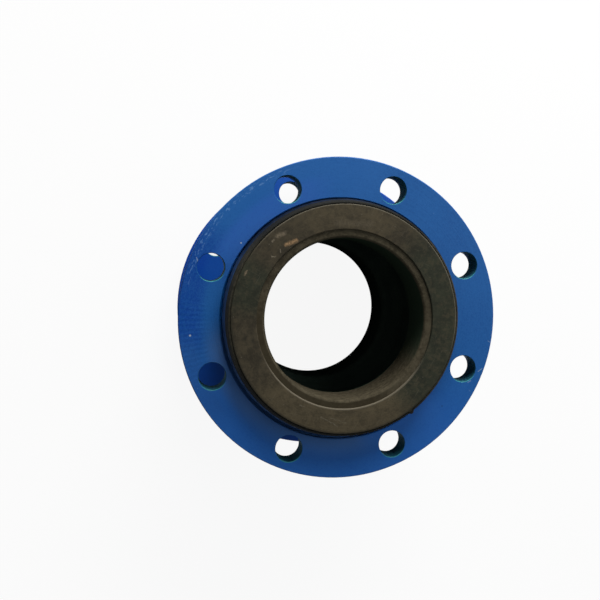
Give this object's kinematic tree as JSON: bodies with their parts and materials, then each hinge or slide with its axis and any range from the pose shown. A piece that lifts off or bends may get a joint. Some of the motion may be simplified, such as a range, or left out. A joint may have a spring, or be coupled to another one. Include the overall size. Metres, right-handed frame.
{
  "type": "flanged rubber expansion joint",
  "caption": "Single-arch rubber bellows with a proud bead at each end, held by loose blue steel flanges drilled for bolts, for joining two pipes flexibly.",
  "frame": {"origin": "centre of the lower sealing face, where the part stands", "axes": "+Z along the pipe axis to the upper sealing face; the upper flange's bolt holes straddle X and Y"},
  "size_m": [0.28, 0.2806, 0.18],
  "materials": {
    "black_rubber": "matte moulded synthetic rubber, dusty on the sealing faces, glossier on the bead sides",
    "blue_enamel": "satin blue enamel over turned steel, fine concentric tool marks, small nicks at the rims"
  },
  "bodies": {
    "rubber_body": {"rubber_body": "black_rubber"},
    "upper_flange": {"upper_flange": "blue_enamel"},
    "lower_flange": {"lower_flange": "blue_enamel"}
  },
  "joints": [
    {"name": "axial_travel", "type": "slide", "parent": "rubber_body", "child": "upper_flange", "axis": [0, 0, 1], "range_m": [-0.018, 0.012], "stiffness_N_per_m": 100000, "springref_m": 0.00044, "deforming": ["rubber_body"]},
    {"name": "lower_swivel", "type": "hinge", "parent": "rubber_body", "child": "lower_flange", "pos_m": [0, 0, 0.0244], "axis": [0, 0, 1], "continuous": true}
  ]
}
